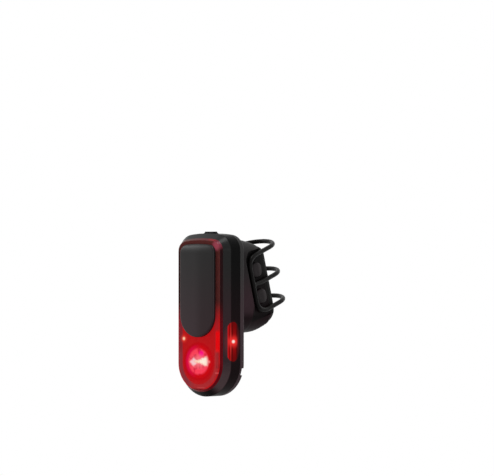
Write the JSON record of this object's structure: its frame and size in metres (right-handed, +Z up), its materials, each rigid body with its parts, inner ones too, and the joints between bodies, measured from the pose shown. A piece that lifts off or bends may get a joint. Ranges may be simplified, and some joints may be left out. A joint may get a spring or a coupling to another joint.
{
  "type": "bike rear light",
  "caption": "Upright rear light with a dark radar window over a red lens, held to a seat post by a quarter-turn mount and a rubber ladder strap.",
  "frame": {"origin": "on the seat post's axis, level with the middle rung of the strap", "axes": "+Y from the lens towards the front of the bike, +Z up, +X across the bike; the post leans 17 degrees, its top towards minus Y"},
  "size_m": [0.0424, 0.0808, 0.1048],
  "materials": {
    "housing_plastic": "fine-grained moulded black",
    "window_cover": "smooth satin charcoal",
    "lens_red": "tinted red, glossy",
    "window_red": "tinted red, glossy",
    "optic_clear": "clear moulded optic",
    "reflector_red": "bright red bowl",
    "diode": "diode with a clear dome",
    "board": "dark solder mask",
    "shield_metal": "tinned sheet",
    "link_plastic": "connector plastic",
    "battery_wrap": "foil pouch",
    "foam": "thin foam tape",
    "lead_insulation": "lead insulation",
    "port_metal": "drawn steel shell",
    "seal_rubber": "silicone",
    "button_rubber": "silk-matt rubber",
    "door_rubber": "silk-matt rubber",
    "screw_steel": "blackened steel",
    "coupling_plastic": "glass-filled black",
    "mount_plastic": "fine-grained moulded black",
    "pad_rubber": "grooved liner",
    "strap_rubber": "round moulded rubber"
  },
  "bodies": {
    "mount": {"mount_base": "mount_plastic", "socket_ring": "coupling_plastic", "socket_screws": "screw_steel", "post_pad": "pad_rubber", "strap": "strap_rubber"},
    "light": {"front_housing": "housing_plastic", "rear_cover": "housing_plastic", "radar_cover": "window_cover", "front_lens": "lens_red", "side_window_left": "window_red", "side_window_right": "window_red", "led_optic": "optic_clear", "led_reflector": "reflector_red", "main_led": "diode", "marker_leds": "diode", "side_leds": "diode", "led_board": "board", "radar_board": "board", "main_board": "board", "radar_shield": "shield_metal", "board_links": "link_plastic", "battery_connector": "link_plastic", "button_switch": "link_plastic", "battery": "battery_wrap", "battery_pad": "foam", "battery_leads": "lead_insulation", "usb_port": "port_metal", "housing_seal": "seal_rubber", "button_seal": "seal_rubber", "cover_screws": "screw_steel", "tab_screws": "screw_steel", "quarter_turn_tabs": "coupling_plastic"},
    "power_button": {"power_button": "button_rubber"},
    "usb_door": {"usb_door": "door_rubber"}
  },
  "joints": [
    {"name": "light_quarter_turn", "type": "hinge", "parent": "mount", "child": "light", "pos_m": [0, -0.036, -0.006], "axis": [0, 1, 0], "range_deg": [0, 90]},
    {"name": "power_button_press", "type": "slide", "parent": "light", "child": "power_button", "axis": [0, 0, -1], "range_m": [0, 0.0005], "stiffness_N_per_m": 3000},
    {"name": "usb_door_swing", "type": "hinge", "parent": "light", "child": "usb_door", "pos_m": [0, -0.0378, -0.0733], "axis": [-1, 0, 0], "range_deg": [0, 110]}
  ]
}
